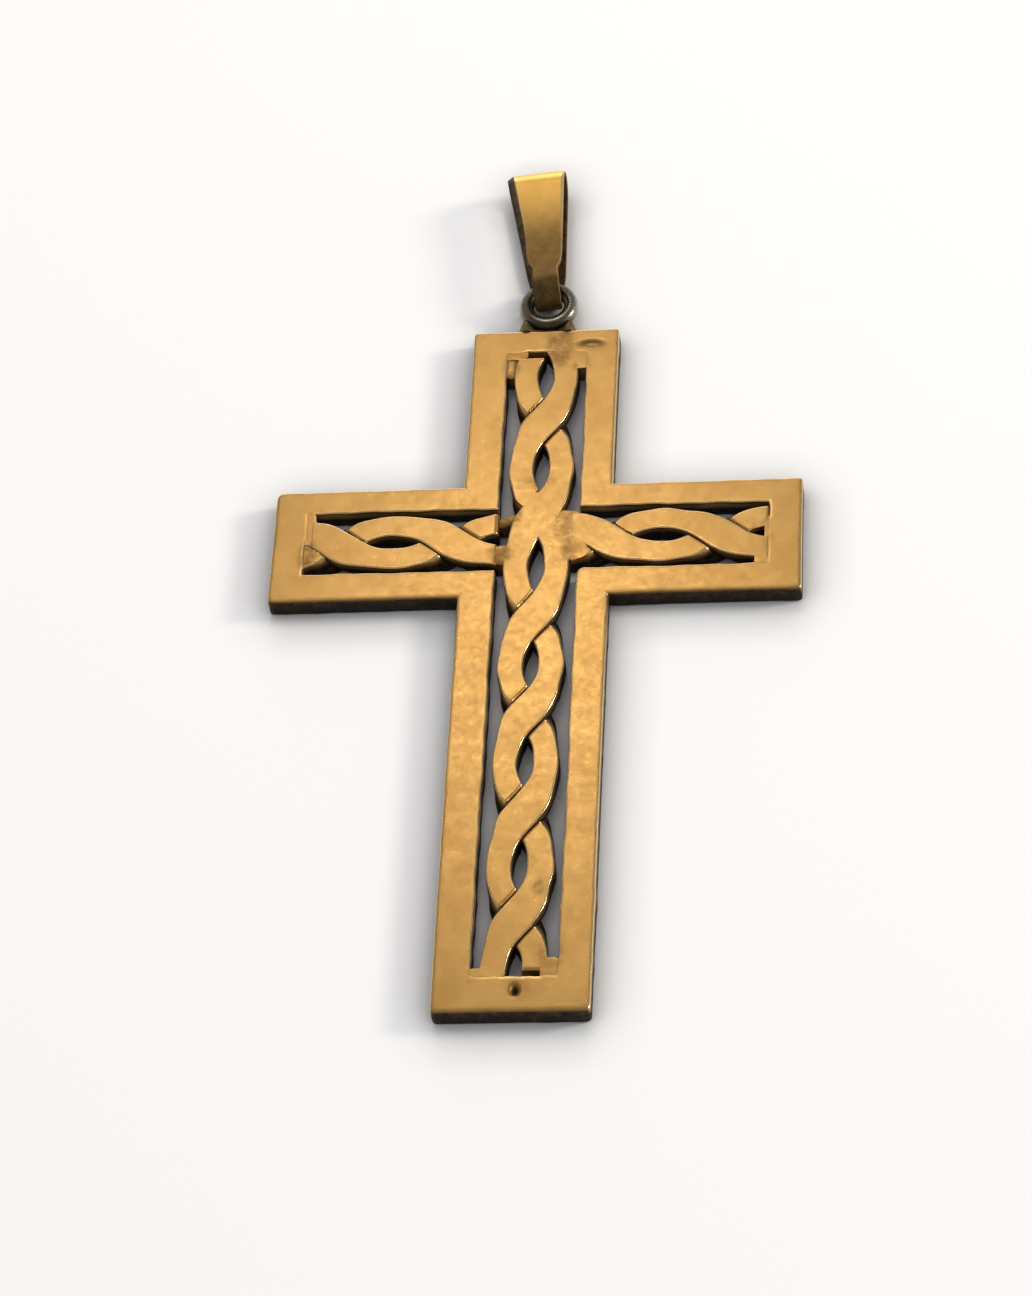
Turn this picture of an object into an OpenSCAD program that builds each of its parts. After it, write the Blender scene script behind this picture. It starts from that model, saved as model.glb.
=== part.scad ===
// Openwork cross pendant: a pierced frame filled with rolled two-wire twists, lying on its back.
// The frame is built round the crossing of its arms, X across, Y up to the bail and Z out of the face,
// and is then moved so that the origin is at the centre of the footprint.

/* [Frame] */
// Span from one arm's end to the other
arm_span = 34; // [29:0.1:42]
// Length of the frame from its foot to its head
frame_len = 52.1; // [46:0.1:64]
// Height of the head above the arms' centreline
head_len = 17.2; // [15.6:0.1:20]
// Width of the upright
upright_w = 9.6; // [9:0.1:11]
// Height of the arms
arm_h = 8.85; // [8.4:0.05:10.5]
// Thickness of the plate
plate_t = 1.4; // [1.3:0.05:2]

/* [Opening] */
// Gap left between the twist in the upright and each side of its opening
side_gap = 0.49; // [0.1:0.01:0.8]
// Gap left between the twist in an arm and each side of its opening
arm_gap = 0.295; // [0.1:0.005:0.8]
// Border left at the head
head_border = 1.8; // [1.5:0.05:2.4]
// Border left at the foot
foot_border = 2.45; // [1.5:0.05:3.5]
// Border left at the arms' ends
end_border = 2.1; // [1.5:0.05:2.8]
// How far the hand-cut opening sits to the right of the middle
opening_right = 0.12; // [0:0.02:0.2]
// How far the hand-cut opening sits above the middle
opening_up = 0.12; // [0:0.02:0.2]
// Radius of the opening's inner corner at the lower right
corner_r = 0.45; // [0.2:0.05:0.8]

/* [Twist] */
// Width across a twist, over both wires
twist_w = 4.26; // [3.6:0.02:4.4]
// Width of a rolled wire where it bows out
wire_w = 1.65; // [1.4:0.05:1.8]
// Width of the upper wire at a crossing, measured straight across the twist
crossing_w = 2.84; // [2.2:0.02:3]
// Distance from one crossing to the next in the upright
upright_lay = 7.55; // [6.6:0.05:9]
// Distance from one crossing to the next in the arms
arm_lay = 7.4; // [6.6:0.05:9]
// Length of wire above the first crossing in the upright
upright_lead = 5.35; // [4.6:0.05:6]
// Length of wire to the left of the first crossing in an arm
arm_lead = 1.8; // [1.2:0.05:3]
// Seam left between two wires where they cross
seam = 0.08; // [0.04:0.01:0.12]
// Slit left where a wire stops short of the frame
end_slit = 0.4; // [0.2:0.05:0.6]
// Gap left between an arm's twist and the twist in the upright
joint_gap = 0.3; // [0.15:0.05:0.5]

/* [Solder] */
// How far the solder lies below the face
solder_low = 0.12; // [0.05:0.01:0.3]
// Thickness of the solder bridge between the frame's head and the hanging ring
bridge_h = 0.34; // [0.2:0.02:0.6]
// Height of the solder lugs at the two ends of the bridge
lug_h = 0.95; // [0.6:0.05:1.2]
// Radius of the solder lugs
lug_r = 0.5; // [0.4:0.02:0.6]
// Distance from the middle of the frame to the middle of each lug
lug_x = 1.3; // [1:0.05:1.6]
// How far solder fills the opening below the head, left of the twist
head_fill_left = 2.4; // [1.5:0.1:3]
// How far solder fills the opening below the head, right of the twist
head_fill_right = 1.5; // [1:0.1:3]
// How far solder fills the opening above the foot, left of the twist
foot_fill_left = 0.5; // [0.4:0.05:1.5]
// How far solder fills the opening above the foot, right of the twist
foot_fill_right = 1.2; // [0.5:0.05:1.5]

/* [Ring and bail] */
// Outside diameter of the hanging ring
ring_od = 3.95; // [3.7:0.05:5]
// Thickness of the ring's wire
ring_wire = 1; // [0.8:0.05:1]
// How far the ring's centre lies above the middle of the plate
ring_up = 0.3; // [0.1:0.05:0.4]
// Length of the bail from the ring's centre to its top
bail_len = 11.05; // [9:0.05:14]
// Width of the bail across its top
bail_top_w = 4; // [3.2:0.05:5]
// Width of the bail just above the ring
bail_low_w = 2.45; // [2:0.05:3]
// Gap left between the ring's inside and each side of the bail's neck
neck_gap = 0.075; // [0.07:0.005:0.3]
// Distance from the ring's outside, measured inward, at which the bail starts to widen
neck_in = 0; // [-0.1:0.05:0.2]
// Distance from the ring's outside, measured outward, at which the bail has widened
neck_out = 0.5; // [0.4:0.05:1]
// Distance from there to the butt joint in the bail's back leaf
butt_out = 0.5; // [0.3:0.1:4]
// Thickness of the bail's strip
strip_t = 0.35; // [0.3:0.05:0.5]
// Gap left between the ring's wire and the fold round it
fold_gap = 0.55; // [0.5:0.01:0.6]
// Outside radius of the arch at the bail's top
arch_r = 1.45; // [1.2:0.05:2]
// How far the bail leans to the left as it lies
bail_lean = 6.3; // [0:0.1:10]

/* [Hidden] */
$fn = 64;
eps = 0.01;

// Places of the frame, measured from the crossing of the arms
foot_y = head_len - frame_len;
half_span = arm_span / 2;
opening_w = twist_w + 2 * side_gap;
opening_h = twist_w + 2 * arm_gap;
opening_left = opening_right - opening_w / 2;
opening_side = opening_right + opening_w / 2;
opening_top = head_len - head_border;
opening_foot = foot_y + foot_border;
opening_end = half_span - end_border;

// Twists: the rolled wires swing to each side of the twist's middle
swing = (twist_w - wire_w) / 2;
steps_per_lay = 16;
// Unevenness of the hand-laid twist at each crossing of the upright
upright_drift = [0, 0, 0.6, 0.2, 0.2, 0.15];
upright_start = -opening_top;
upright_end = -opening_foot;
first_crossing = upright_start + end_slit + upright_lead;
upright_count = floor((upright_end - first_crossing) / upright_lay) + 1;
upright_crossings = [
    for (i = [0:upright_count - 1])
        first_crossing + i * upright_lay + (i < len(upright_drift) ? upright_drift[i] : 0)
];
arm_twist_len = opening_end - twist_w / 2 - joint_gap - end_slit / 2;
arm_count = floor((arm_twist_len - arm_lead) / arm_lay) + 1;
arm_crossings = [for (i = [0:arm_count - 1]) arm_lead + i * arm_lay];
left_twist_x = end_slit / 2 - opening_end;
right_twist_x = opening_right + twist_w / 2 + joint_gap;

// Hand-laid solder: the lowest and highest point of each fill, measured from the arms' centreline
left_end_fill = [-0.2, 2.1];
right_end_fill = [-2, 0.4];
left_high_fill = [0.85, 2.1];
left_low_fill = [-2.1, -0.45];
right_fill = [-1.7, 2.3];
// How far the solder at the joints reaches along an arm's twist and towards the middle of the upright
joint_reach = 0.4;
joint_left = opening_right - swing / 2;
joint_right = opening_right + swing / 2;

// Ring and bail
ring_r = (ring_od - ring_wire) / 2;
ring_y = head_len + bridge_h + ring_od / 2;
ring_z = plate_t / 2 + ring_up;
bail_neck_w = ring_od - 2 * ring_wire - 2 * neck_gap;
fold_r = ring_wire / 2 + fold_gap;
fold_out = fold_r + strip_t;
fold_y = sqrt(pow(ring_r, 2) - pow(bail_neck_w / 2, 2));
fold_low = fold_y - fold_out;
neck_start = ring_od / 2 - neck_in;
neck_end = ring_od / 2 + neck_out;
butt_y = neck_end + butt_out;
butt_low = strip_t / 8;
arch_y = bail_len - arch_r;
fold_tilt = atan2(arch_r - fold_out, arch_y - fold_y);
fold_open = asin((arch_r - fold_out) / norm([arch_y - fold_y, arch_r - fold_out]));
leaf_top = fold_tilt + 90 + fold_open;
leaf_low = fold_tilt - 90 - fold_open;
far = 3 * arch_r;

// Centre of the footprint, measured from the crossing of the arms
bail_tip_y = ring_y + bail_len * cos(bail_lean) + bail_top_w / 2 * sin(bail_lean);
middle_y = (foot_y + bail_tip_y) / 2;

// Moves a piece from the arms' crossing to the footprint's centre
module placed() {
    translate([0, -middle_y, 0])
        children();
}

// Turns a twist's own axis, which runs along X, to run down the upright
module down_upright() {
    translate([opening_right, 0, 0])
        rotate([0, 0, -90])
            children();
}

// Moves a twist's own axis to an arm, starting at x
module along_arm(x) {
    translate([x, opening_up, 0])
        children();
}

// Number of crossings passed at u, counted in whole and part lays
function turns(u, at, lay, i = 0) =
    u <= at[0] ? (u - at[0]) / lay
    : i >= len(at) - 1 ? len(at) - 1 + (u - at[len(at) - 1]) / lay
    : u <= at[i + 1] ? i + (u - at[i]) / (at[i + 1] - at[i])
    : turns(u, at, lay, i + 1);

// How far the wires' middles lie to each side where the twist ends at the foot
foot_swing = swing * abs(sin(180 * turns(upright_end, upright_crossings, upright_lay)));

// Half the width of a wire: narrow where it bows out, broad where it crosses
function half_width(turn) = (wire_w + (crossing_w - wire_w) * pow(cos(180 * turn), 4)) / 2;

// Middle of a wire; side is 1 for wire a and -1 for wire b
function middle(turn, side) = side * swing * sin(180 * turn);

// Outline of a wire from u0 to u1, widened by grow on each edge
module wire_outline(at, lay, side, u0, u1, grow = 0) {
    count = ceil((u1 - u0) / lay * steps_per_lay);
    us = [for (i = [0:count]) u0 + (u1 - u0) * i / count];
    upper = [for (u = us) let (k = turns(u, at, lay)) [u, middle(k, side) + half_width(k) + grow]];
    lower = [for (u = us) let (k = turns(u, at, lay)) [u, middle(k, side) - half_width(k) - grow]];
    polygon(concat(upper, [for (i = [count:-1:0]) lower[i]]));
}

// One wire of a twist. Wire b lies over wire a at the first crossing, and they take turns after it.
module wire(at, lay, side, u0, u1) {
    difference() {
        linear_extrude(plate_t)
            wire_outline(at, lay, side, u0, u1);
        for (i = [0:len(at) - 1]) {
            over = (i % 2 == 0) == (side == -1);
            from_z = over ? -eps : plate_t / 2;
            translate([0, 0, from_z])
                linear_extrude(plate_t / 2 + eps)
                    wire_outline(at, lay, -side, at[i] - lay * 0.4, at[i] + lay * 0.4, seam);
        }
    }
}

module upright_wire(side, u0, u1) {
    placed() down_upright()
        wire(upright_crossings, upright_lay, side, u0, u1);
}

module arm_wire(x, side, u0, u1) {
    placed() along_arm(x)
        wire(arm_crossings, arm_lay, side, u0, u1);
}

// Space taken by both wires of a twist, cut out of the solder
module twist_space(at, lay, a0, a1, b0, b1) {
    translate([0, 0, -eps])
        linear_extrude(plate_t + 2 * eps) {
            wire_outline(at, lay, 1, a0, a1);
            wire_outline(at, lay, -1, b0, b1);
        }
}

module upright_space() {
    down_upright()
        twist_space(
            upright_crossings, upright_lay,
            upright_start + end_slit, upright_end,
            upright_start, upright_end - end_slit
        );
}

module arm_space(x) {
    along_arm(x)
        twist_space(arm_crossings, arm_lay, 0, arm_twist_len, 0, arm_twist_len);
}

// A patch of solder from corner to corner, a little below the face
module patch(x0, y0, x1, y1) {
    translate([x0, y0, solder_low])
        cube([x1 - x0, y1 - y0, plate_t - 2 * solder_low]);
}

module frame() {
    color("goldenrod") placed()
        difference() {
            union() {
                translate([-upright_w / 2, foot_y, 0])
                    cube([upright_w, frame_len, plate_t]);
                translate([-half_span, -arm_h / 2, 0])
                    cube([arm_span, arm_h, plate_t]);
            }
            translate([opening_left, opening_foot, -eps])
                cube([opening_w, opening_top - opening_foot, plate_t + 2 * eps]);
            translate([-opening_end, opening_up - opening_h / 2, -eps])
                cube([2 * opening_end, opening_h, plate_t + 2 * eps]);
            rounded_corner();
        }
}

// Cuts the lower right inner corner of the frame to a radius
module rounded_corner() {
    translate([opening_side, opening_up - opening_h / 2, -eps])
        difference() {
            translate([-eps, -corner_r, 0])
                cube([corner_r + eps, corner_r + eps, plate_t + 2 * eps]);
            translate([corner_r, -corner_r, -eps])
                cylinder(h = plate_t + 4 * eps, r = corner_r);
        }
}

// Wire a bows left at the head, stops short of it, and is soldered to the foot
module upright_wire_a() {
    color("goldenrod")
        upright_wire(1, upright_start + end_slit, upright_end);
}

// Wire b is soldered to the head and stops short of the foot
module upright_wire_b() {
    color("goldenrod")
        upright_wire(-1, upright_start, upright_end - end_slit);
}

module left_arm_wire_a() {
    color("goldenrod")
        arm_wire(left_twist_x, 1, 0, arm_twist_len);
}

module left_arm_wire_b() {
    color("goldenrod")
        arm_wire(left_twist_x, -1, 0, arm_twist_len);
}

module right_arm_wire_a() {
    color("goldenrod")
        arm_wire(right_twist_x, 1, 0, arm_twist_len);
}

module right_arm_wire_b() {
    color("goldenrod")
        arm_wire(right_twist_x, -1, 0, arm_twist_len);
}

module head_solder() {
    color("sienna") placed()
        difference() {
            union() {
                patch(opening_left, opening_top - head_fill_left, opening_right - swing, opening_top);
                patch(opening_right + swing, opening_top - head_fill_right, opening_side, opening_top);
            }
            upright_space();
            translate([opening_left + wire_w, opening_top - end_slit, -eps])
                cube([opening_w, end_slit + eps, plate_t]);
        }
}

module foot_solder() {
    left_foot_top = opening_foot + foot_fill_left;
    right_foot_top = opening_foot + foot_fill_right;
    color("sienna") placed()
        difference() {
            union() {
                patch(opening_left, opening_foot, opening_right - foot_swing, left_foot_top);
                patch(opening_right + foot_swing, opening_foot, opening_side, right_foot_top);
            }
            upright_space();
        }
}

// Solder between an arm's twist and the end bar; from_x is the inner side of the slit
module end_solder(from_x, to_x, low_y, high_y) {
    color("sienna") placed()
        difference() {
            patch(from_x, opening_up + low_y, to_x, opening_up + high_y);
            arm_space(left_twist_x);
            arm_space(right_twist_x);
        }
}

module left_end_solder() {
    end_solder(-opening_end, left_twist_x, left_end_fill[0], left_end_fill[1]);
}

module right_end_solder() {
    end_solder(right_twist_x + arm_twist_len, opening_end, right_end_fill[0], right_end_fill[1]);
}

// A patch of solder that spans a fill's lowest and highest point
module joint_patch(from_x, to_x, fill) {
    patch(from_x, opening_up + fill[0], to_x, opening_up + fill[1]);
}

// Solder between the arms' twists and the twist in the upright
module joint_solder() {
    color("sienna") placed()
        difference() {
            children();
            upright_space();
            arm_space(left_twist_x);
            arm_space(right_twist_x);
        }
}

module left_joint_solder() {
    inner_x = left_twist_x + arm_twist_len;
    joint_solder() {
        joint_patch(inner_x - joint_reach, joint_left, left_high_fill);
        joint_patch(inner_x - joint_reach, joint_left, left_low_fill);
    }
}

module right_joint_solder() {
    joint_solder()
        joint_patch(joint_right, right_twist_x + joint_reach, right_fill);
}

module ring_body() {
    translate([0, ring_y, ring_z])
        rotate_extrude()
            translate([ring_r, 0])
                circle(d = ring_wire);
}

module hanging_ring() {
    color("darkkhaki") placed()
        ring_body();
}

// A bridge of solder between the ring and the frame's head, with a lug at each end
module ring_solder() {
    color("sienna") placed()
        difference() {
            intersection() {
                translate([0, head_len, ring_z])
                    union() {
                        for (side = [-1, 1])
                            translate([side * lug_x, 0, 0])
                                rotate([-90, 0, 0])
                                    cylinder(h = lug_h, r = lug_r);
                        translate([-lug_x, 0, -lug_r])
                            cube([2 * lug_x, bridge_h + ring_wire / 2, 2 * lug_r]);
                    }
                translate([-ring_od, 0, solder_low])
                    cube([2 * ring_od, ring_y, plate_t - 2 * solder_low]);
            }
            ring_body();
            translate([0, ring_y, -eps])
                cylinder(h = plate_t + 2 * eps, r = ring_r);
        }
}

// Part of a side view that lies on the ring's side of a fold's two tangent points
module fold_side(at_y, at_z) {
    polygon([
        [at_y, at_z],
        [at_y + far * cos(leaf_top), at_z + far * sin(leaf_top)],
        [at_y - far, at_z + far],
        [at_y - far, at_z - far],
        [at_y + far * cos(leaf_low), at_z + far * sin(leaf_low)]
    ]);
}

// Direction of a leaf, square to its outward angle
function leaf_tilt(angle) = angle > 0 ? angle - 90 : angle + 90;

// Side view of one leaf, a strip that runs from tangent point to tangent point
module leaf_side(angle) {
    out = [cos(angle), sin(angle)];
    along = [cos(leaf_tilt(angle)), sin(leaf_tilt(angle))] * eps;
    low = [fold_y, fold_out];
    high = [arch_y, arch_r];
    polygon([
        low + out * fold_out - along,
        high + out * arch_r + along,
        high + out * (arch_r - strip_t) + along,
        low + out * fold_r - along
    ]);
}

// Outline of the strip seen from the front: broad at the arch, narrow where it passes through the ring
module bail_front() {
    polygon([
        [-bail_neck_w / 2, fold_low - eps], [bail_neck_w / 2, fold_low - eps],
        [bail_neck_w / 2, neck_start], [bail_low_w / 2, neck_end],
        [bail_top_w / 2, bail_len + eps], [-bail_top_w / 2, bail_len + eps],
        [-bail_low_w / 2, neck_end], [-bail_neck_w / 2, neck_start]
    ]);
}

// Sets a piece of the bail radially on the ring, leaning to the left
module on_ring() {
    placed()
        translate([0, ring_y, 0])
            rotate([0, 0, bail_lean])
                children();
}

// Turns a side view to stand along the bail
module across_bail(width) {
    rotate([90, 0, 90])
        translate([0, 0, -width / 2])
            linear_extrude(width)
                children();
}

// A full turn of the strip, which the fold and the arch are cut from
module bent_strip(at_y, out_r) {
    translate([-bail_top_w / 2, at_y, out_r])
        rotate([0, 90, 0])
            difference() {
                cylinder(h = bail_top_w, r = out_r);
                translate([0, 0, -eps])
                    cylinder(h = bail_top_w + 2 * eps, r = out_r - strip_t);
            }
}

module bail() {
    color("goldenrod") on_ring()
        intersection() {
            union() {
                intersection() {
                    bent_strip(fold_y, fold_out);
                    across_bail(bail_top_w)
                        fold_side(fold_y, fold_out);
                }
                difference() {
                    bent_strip(arch_y, arch_r);
                    across_bail(bail_top_w + 1)
                        fold_side(arch_y, arch_r);
                }
                across_bail(bail_top_w)
                    leaf_side(leaf_top);
                across_bail(bail_top_w)
                    leaf_side(leaf_low);
            }
            translate([0, 0, -1])
                linear_extrude(2 * arch_r + 2)
                    bail_front();
            bail_lap_cut();
        }
}

// Everything but the butt joint in the back leaf, where the strip's two ends meet
module bail_lap_cut() {
    difference() {
        translate([-bail_top_w, -1, -1])
            cube([2 * bail_top_w, bail_len + 2, 2 * arch_r + 3]);
        translate([-bail_top_w, butt_y, -1])
            cube([2 * bail_top_w, seam, fold_out + 1]);
    }
}

// Solder that closes the butt joint
module bail_solder() {
    color("sienna") on_ring()
        translate([-bail_low_w / 2, butt_y, butt_low])
            cube([bail_low_w, seam, strip_t - 2 * butt_low]);
}

frame();
upright_wire_a();
upright_wire_b();
left_arm_wire_a();
left_arm_wire_b();
right_arm_wire_a();
right_arm_wire_b();
head_solder();
foot_solder();
left_end_solder();
right_end_solder();
left_joint_solder();
right_joint_solder();
hanging_ring();
ring_solder();
bail();
bail_solder();
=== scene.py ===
import math

import bmesh
import bpy
import numpy as np
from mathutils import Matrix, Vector


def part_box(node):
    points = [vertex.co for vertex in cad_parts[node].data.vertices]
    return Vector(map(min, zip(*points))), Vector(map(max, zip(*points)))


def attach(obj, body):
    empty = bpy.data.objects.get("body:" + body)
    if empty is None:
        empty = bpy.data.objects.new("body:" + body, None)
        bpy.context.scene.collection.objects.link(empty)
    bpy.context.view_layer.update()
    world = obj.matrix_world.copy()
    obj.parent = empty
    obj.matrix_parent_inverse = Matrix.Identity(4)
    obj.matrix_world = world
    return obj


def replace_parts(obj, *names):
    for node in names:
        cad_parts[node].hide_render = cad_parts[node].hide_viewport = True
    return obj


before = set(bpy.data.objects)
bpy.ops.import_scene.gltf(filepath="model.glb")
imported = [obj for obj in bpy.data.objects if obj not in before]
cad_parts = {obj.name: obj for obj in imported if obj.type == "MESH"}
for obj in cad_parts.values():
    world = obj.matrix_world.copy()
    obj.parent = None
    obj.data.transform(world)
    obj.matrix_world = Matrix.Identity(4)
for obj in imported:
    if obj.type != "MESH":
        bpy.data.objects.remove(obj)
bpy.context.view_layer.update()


# ---- Pierced plate ------------------------------------------------------------------------------
# The cross-shaped plate that holds everything else: brass sheet about 1.4 mm thick, pierced and
# sawn out by hand, so its edges waver a little, then rubbed flat on its face and gilded.

MM = 0.001
plate_low, plate_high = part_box("frame")
face_z = plate_high.z / MM
head_len = 17.2
crossing_y = plate_high.y / MM - head_len

# Corners of the plate and of its opening, from the crossing of the arms, with their radii
outer_corners = [
    (-4.80, 17.20, 0.22), (4.80, 17.20, 0.22), (4.80, 4.33, 0.12), (17.0, 4.33, 0.22),
    (17.0, -4.42, 0.22), (4.80, -4.42, 0.10), (4.80, -34.9, 0.32), (-4.80, -34.9, 0.36),
    (-4.80, -4.42, 0.10), (-17.0, -4.42, 0.28), (-17.0, 4.33, 0.45), (-4.80, 4.33, 0.12),
]
inner_corners = [
    (-2.50, 15.40, 0.10), (2.74, 15.40, 0.10), (2.74, 2.545, 0.06), (14.9, 2.545, 0.12),
    (14.9, -2.305, 0.10), (2.74, -2.305, 0.45), (2.74, -32.45, 0.10), (-2.50, -32.45, 0.12),
    (-2.50, -2.305, 0.06), (-14.9, -2.305, 0.10), (-14.9, 2.545, 0.15), (-2.50, 2.545, 0.06),
]


def waver(along, seed, size):
    """Slow unevenness of a hand-cut edge, in mm, for each distance along it."""
    phases = np.random.default_rng(seed).uniform(0, 2 * np.pi, 4)
    lengths = (0.35, 0.8, 1.9, 4.3)
    return size * sum(0.25 * np.sin(along / n + p) for n, p in zip(lengths, phases))


def outline(corners, spans, arc_steps=5):
    """Points round an outline with rounded corners, with spans[i] points on the side after corner i."""
    spots = [np.array(c[:2]) for c in corners]
    radii = [c[2] for c in corners]
    count = len(corners)
    arcs = []
    for i in range(count):
        arrive = spots[i] - spots[i - 1]
        leave = spots[(i + 1) % count] - spots[i]
        arrive, leave = arrive / np.linalg.norm(arrive), leave / np.linalg.norm(leave)
        centre = spots[i] + (leave - arrive) * radii[i]
        turn = np.linspace(0, np.pi / 2, arc_steps)[:, None]
        arcs.append(centre + radii[i] * (arrive * np.sin(turn) - leave * np.cos(turn)))
    points = []
    for i in range(count):
        points.extend(arcs[i])
        ahead = arcs[(i + 1) % count][0]
        shares = np.linspace(0, 1, spans[i] + 2)[1:-1, None]
        points.extend(arcs[i][-1] + (ahead - arcs[i][-1]) * shares)
    return np.array(points)


def ease(low, high, value):
    """0 below low, 1 above high and smooth between."""
    share = np.clip((value - low) / (high - low), 0, 1)
    return share * share * (3 - 2 * share)


def spot(x, y, at_x, at_y, half_x, half_y):
    """1 in the middle of an oval place and 0 outside it."""
    return 1 - ease(0.35, 1, np.hypot((x - at_x) / half_x, (y - at_y) / half_y))


# Where solder ran level and was rubbed flush with the face: x, y, half width, half height
level_floods = [
    (2.1, 15.0, 1.35, 1.05), (-2.2, 15.3, 1.0, 0.5), (0.1, 2.0, 1.75, 2.0), (2.3, 0.2, 1.25, 2.0),
    (-2.0, -1.1, 0.9, 0.8), (-1.9, -32.2, 1.35, 0.55), (2.35, -31.9, 0.7, 0.8),
    (-14.75, 1.4, 0.6, 1.45), (14.6, -0.8, 0.75, 2.0),
]


def flooded(x, y):
    """1 where solder ran level, 0 elsewhere."""
    level = np.zeros_like(x)
    for at_x, at_y, half_x, half_y in level_floods:
        beside = 1 - ease(half_x - 0.25, half_x + 0.05, np.abs(x - at_x))
        level = np.maximum(level, beside * (1 - ease(half_y - 0.25, half_y + 0.05, np.abs(y - at_y))))
    return level


# Brown stains that the heat of soldering left on the face: x, y, half width, half height, strength
heat_stains = [
    (0.95, 15.9, 0.9, 1.7, 0.8), (-2.2, 14.2, 0.5, 1.0, 0.9), (2.35, 14.3, 0.6, 0.6, 0.5),
    (-1.7, 1.9, 0.7, 0.8, 0.8), (-2.2, -1.1, 0.7, 0.7, 0.8), (1.8, 1.0, 0.6, 1.1, 0.6),
    (2.3, -0.9, 0.6, 0.7, 0.6), (0.2, 4.6, 0.9, 0.5, 0.4), (2.3, -31.0, 0.8, 0.9, 0.5),
    (-14.7, -0.8, 0.5, 1.1, 0.9), (14.7, 0.2, 0.4, 1.2, 0.4), (1.35, -26.2, 0.3, 0.5, 0.5),
    (-2.3, -32.4, 0.5, 0.5, 0.3), (0.4, -33.3, 0.7, 0.8, 0.3),
]


def heat(x, y):
    stain = np.zeros_like(x)
    for at_x, at_y, half_x, half_y, strength in heat_stains:
        stain = np.maximum(stain, strength * spot(x, y, at_x, at_y, 1.5 * half_x, 1.5 * half_y))
    return stain


def recess(height):
    """How dark a place is with tarnish, from how far it lies below the rubbed face."""
    return ease(0.10, 0.36, face_z - height)


def skin(name, rings, closed=False, **marks):
    """A smooth mesh over rings of points in mm, measured from the arms' crossing. Marks are values
    for each point that the finish reads: edge, recess and stain."""
    rings = np.asarray(rings, float)
    at = np.arange(rings.shape[0] * rings.shape[1]).reshape(rings.shape[:2])
    here, ahead = (at, np.roll(at, -1, axis=0)) if closed else (at[:-1], at[1:])
    quads = np.stack([here, np.roll(here, -1, 1), np.roll(ahead, -1, 1), ahead], -1)
    faces = quads.reshape(-1, 4).tolist()
    if not closed:
        faces += [at[0].tolist(), at[-1].tolist()]
    mesh = bpy.data.meshes.new(name)
    points = (rings.reshape(-1, 3) + (0, crossing_y, 0)) * MM
    mesh.from_pydata(points.tolist(), [], faces)
    for mark, values in marks.items():
        layer = mesh.attributes.new(mark, "FLOAT", "POINT")
        layer.data.foreach_set("value", np.ravel(values).astype(np.float32))
    shell = bmesh.new()
    shell.from_mesh(mesh)
    bmesh.ops.recalc_face_normals(shell, faces=shell.faces)
    for face in shell.faces:
        face.smooth = True
    shell.to_mesh(mesh)
    shell.free()
    mesh.set_sharp_from_angle(angle=math.radians(50))
    piece = bpy.data.objects.new(name, mesh)
    bpy.context.collection.objects.link(piece)
    even = piece.modifiers.new("even_shading", "WEIGHTED_NORMAL")
    even.keep_sharp = True
    return piece


station_gap = 0.17
sides = [
    np.hypot(a[0] - b[0], a[1] - b[1])
    for a, b in zip(outer_corners, outer_corners[1:] + outer_corners[:1])
]
spans = [int(side / station_gap) for side in sides]
outer = outline(outer_corners, spans)
inner = outline(inner_corners, spans)


def sideways(points):
    """Unit directions across an outline at each of its points."""
    along = np.roll(points, -1, axis=0) - np.roll(points, 1, axis=0)
    along /= np.linalg.norm(along, axis=1)[:, None]
    return np.stack([along[:, 1], -along[:, 0]], -1)


walked = np.arange(len(outer)) * station_gap
outer += sideways(outer) * np.minimum(waver(walked, 3, 0.05), 0)[:, None]
inner += sideways(inner) * waver(walked, 8, 0.07)[:, None]
border = np.linalg.norm(inner - outer, axis=1)
flush = flooded(inner[:, 0], inner[:, 1])
round_out = 0.15 + waver(walked, 5, 0.05)
round_in = 0.10 * (1 - flush) + 0.004 + waver(walked, 6, 0.02) * (1 - flush)
round_back = 0.1

# Cross-section of the plate, from its outer edge across the face and back underneath: distance in
# from the outer edge, height, rubbing, and painted shade on the rims that face the foot
# The rims that face the foot are painted dark as shade and get no rubbing
faces_foot = ease(0.3, 0.9, sideways(outer)[:, 1])
turn = np.linspace(0, np.pi / 2, 5)
columns = []
for height in (round_back, 0.5 * face_z):
    columns.append((0 * border, height + 0 * border, 0 * border, 0 * border))
for angle in turn:
    worn = math.sin(2 * angle) ** 0.5 if 0 < angle < np.pi / 2 else 0.3
    columns.append((
        round_out * (1 - np.cos(angle)),
        face_z - round_out * (1 - np.sin(angle)),
        worn * (1 - faces_foot),
        faces_foot * (0.95 - 0.75 * np.sin(angle) ** 2),
    ))
for share in np.linspace(0.08, 0.92, 17):
    from_out, to_in = round_out, border - round_in
    # A thin band of painted shade on the face beside the rims that face the foot
    rim = 0.12 * faces_foot * (share < 0.1)
    columns.append((from_out + (to_in - from_out) * share, face_z + 0 * border, 0 * border, rim))
for angle in turn[::-1]:
    worn = math.sin(2 * angle) ** 0.5 if 0 < angle < np.pi / 2 else 0.3
    columns.append((
        border - round_in * (1 - np.cos(angle)),
        face_z - round_in * (1 - np.sin(angle)),
        worn * (1 - flush),
        0 * border,
    ))
for height in (0.5 * face_z, round_back):
    columns.append((border, height + 0 * border, 0 * border, 0 * border))
for share in (0, 0.25, 0.5, 0.75, 1):
    from_in, to_out = border - round_back, round_back
    columns.append((from_in + (to_out - from_in) * share, 0 * border, 0 * border, 0 * border))

across = np.stack([c[0] for c in columns], 1) / border[:, None]
height = np.stack([c[1] for c in columns], 1)
edge = np.stack([c[2] for c in columns], 1)
foot_rim_shade = np.stack([c[3] for c in columns], 1)
flat = outer[:, None, :] + (inner - outer)[:, None, :] * across[:, :, None]
x, y = flat[..., 0], flat[..., 1]

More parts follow.
